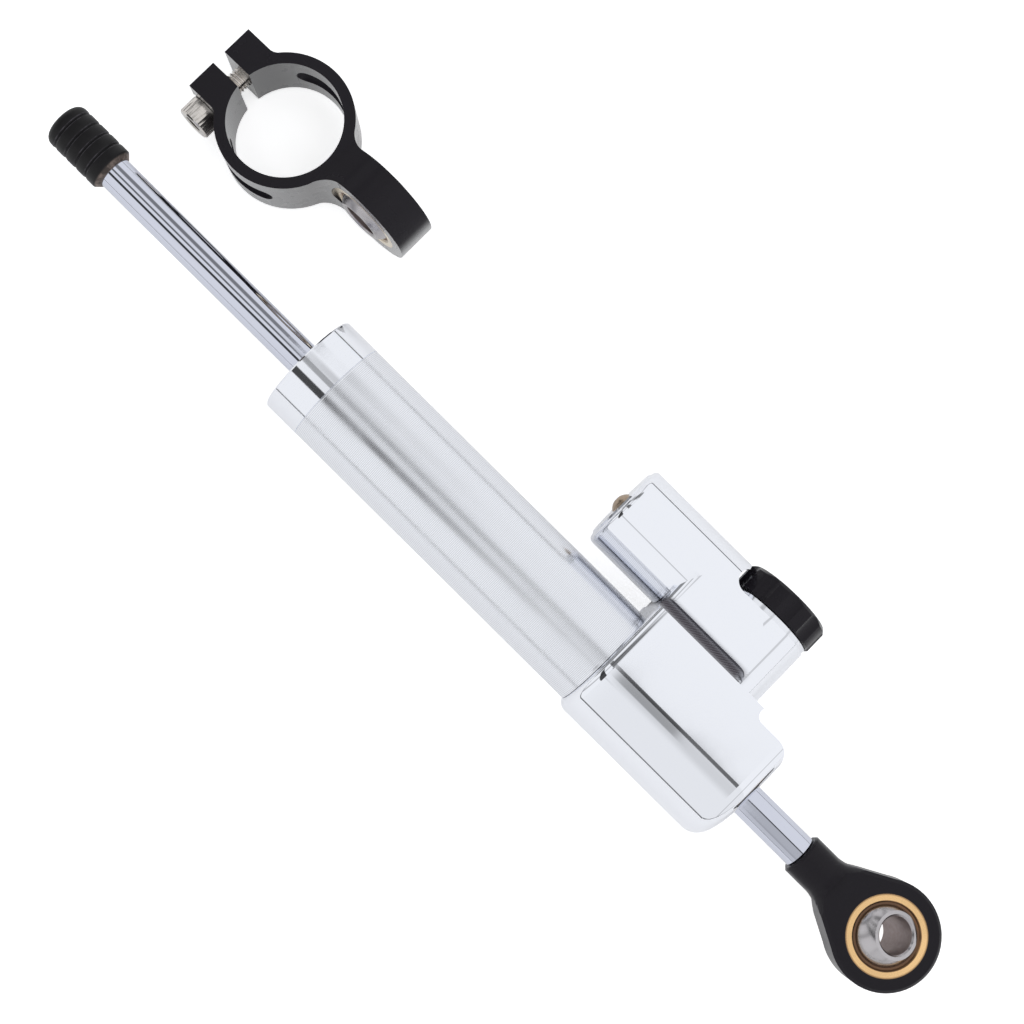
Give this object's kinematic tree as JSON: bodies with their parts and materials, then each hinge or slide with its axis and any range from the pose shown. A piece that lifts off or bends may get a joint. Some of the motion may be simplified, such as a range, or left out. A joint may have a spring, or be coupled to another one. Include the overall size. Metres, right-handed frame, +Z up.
{
  "type": "steering damper",
  "caption": "Adjustable linear motorcycle steering damper with a through rod, side reservoir, damping knob, spherical rod end and a separate clamp bracket.",
  "frame": {"origin": "centre of the rod end's ball", "axes": "+X along the rod from the rubber stop to the rod end, +Y along the knob axis towards the knob, +Z up off the bench the part lies on"},
  "size_m": [0.3185, 0.0774, 0.0344],
  "materials": {
    "bright_aluminium": "polished",
    "chrome": "hard chromed and ground",
    "black_finish": "satin black anodised",
    "rubber": "matte",
    "brass": "turned",
    "steel": "turned and ground",
    "bronze": "dull bronze with a dark slide layer",
    "seal_green": "matte",
    "wiper_white": "matte"
  },
  "bodies": {
    "damper": {"cylinder_tube": "bright_aluminium", "tube_end_cap": "bright_aluminium", "end_cap_oring": "rubber", "stop_side_bush": "bronze", "stop_side_seal": "seal_green", "stop_side_wiper": "wiper_white", "valve_block": "bright_aluminium", "tube_joint_oring": "rubber", "eye_side_bush": "bronze", "eye_side_seal": "seal_green", "eye_side_wiper": "wiper_white", "valve_seat": "brass", "reservoir_cap": "bright_aluminium", "reservoir_cap_oring": "rubber", "fill_screw": "steel", "valve_bonnet": "brass", "bonnet_oring": "rubber", "needle_oring": "rubber", "click_ring": "bright_aluminium"},
    "rod": {"damper_rod": "chrome", "piston": "bright_aluminium", "piston_ring": "bronze", "piston_clips": "steel", "rod_stop": "rubber"},
    "rod_end": {"rod_end_eye": "black_finish", "rod_end_race": "brass", "rod_end_liner": "bronze"},
    "rod_ball": {"rod_end_ball": "steel"},
    "knob": {"knob": "black_finish", "knob_screw": "steel", "click_ball": "steel", "click_spring": "steel"},
    "needle": {"needle": "steel"},
    "compensator": {"compensator_piston": "bright_aluminium", "compensator_oring": "rubber"},
    "bracket": {"clamp_bracket": "black_finish", "bracket_race": "brass", "bracket_liner": "bronze", "clamp_bolt": "steel"},
    "bracket_ball": {"bracket_ball": "steel"}
  },
  "joints": [
    {"name": "rod_slide", "type": "slide", "parent": "damper", "child": "rod", "axis": [1, 0, 0], "range_m": [-0.017, 0.07]},
    {"name": "rod_end_turn", "type": "hinge", "parent": "rod", "child": "rod_end", "pos_m": [0, 0, 0], "axis": [1, 0, 0], "continuous": true},
    {"name": "rod_ball_tilt", "type": "hinge", "parent": "rod_end", "child": "rod_ball", "pos_m": [0, 0, 0], "axis": [1, 0, 0], "range_deg": [-1, 31]},
    {"name": "knob_turn", "type": "hinge", "parent": "damper", "child": "knob", "pos_m": [-0.0788, 0, 0], "axis": [0, 1, 0], "range_deg": [-150, 150]},
    {"name": "needle_travel", "type": "slide", "parent": "knob", "child": "needle", "axis": [0, 1, 0], "range_m": [-0.00042, 0.00042]},
    {"name": "compensator_travel", "type": "slide", "parent": "damper", "child": "compensator", "axis": [1, 0, 0], "range_m": [-0.005, 0.005], "stiffness_N_per_m": 300},
    {"name": "bracket_lift", "type": "slide", "parent": "damper", "child": "bracket", "axis": [0, 0, 1], "range_m": [0, 0.06]},
    {"name": "bracket_ball_tilt", "type": "hinge", "parent": "bracket", "child": "bracket_ball", "pos_m": [-0.23069, 0.044, -0.0025], "axis": [0.9938, 0, 0.1109], "range_deg": [-13, 13]}
  ],
  "couplings": [
    {"joint": "needle_travel", "follows": "knob_turn", "m_per_rad": 0.00015915}
  ]
}
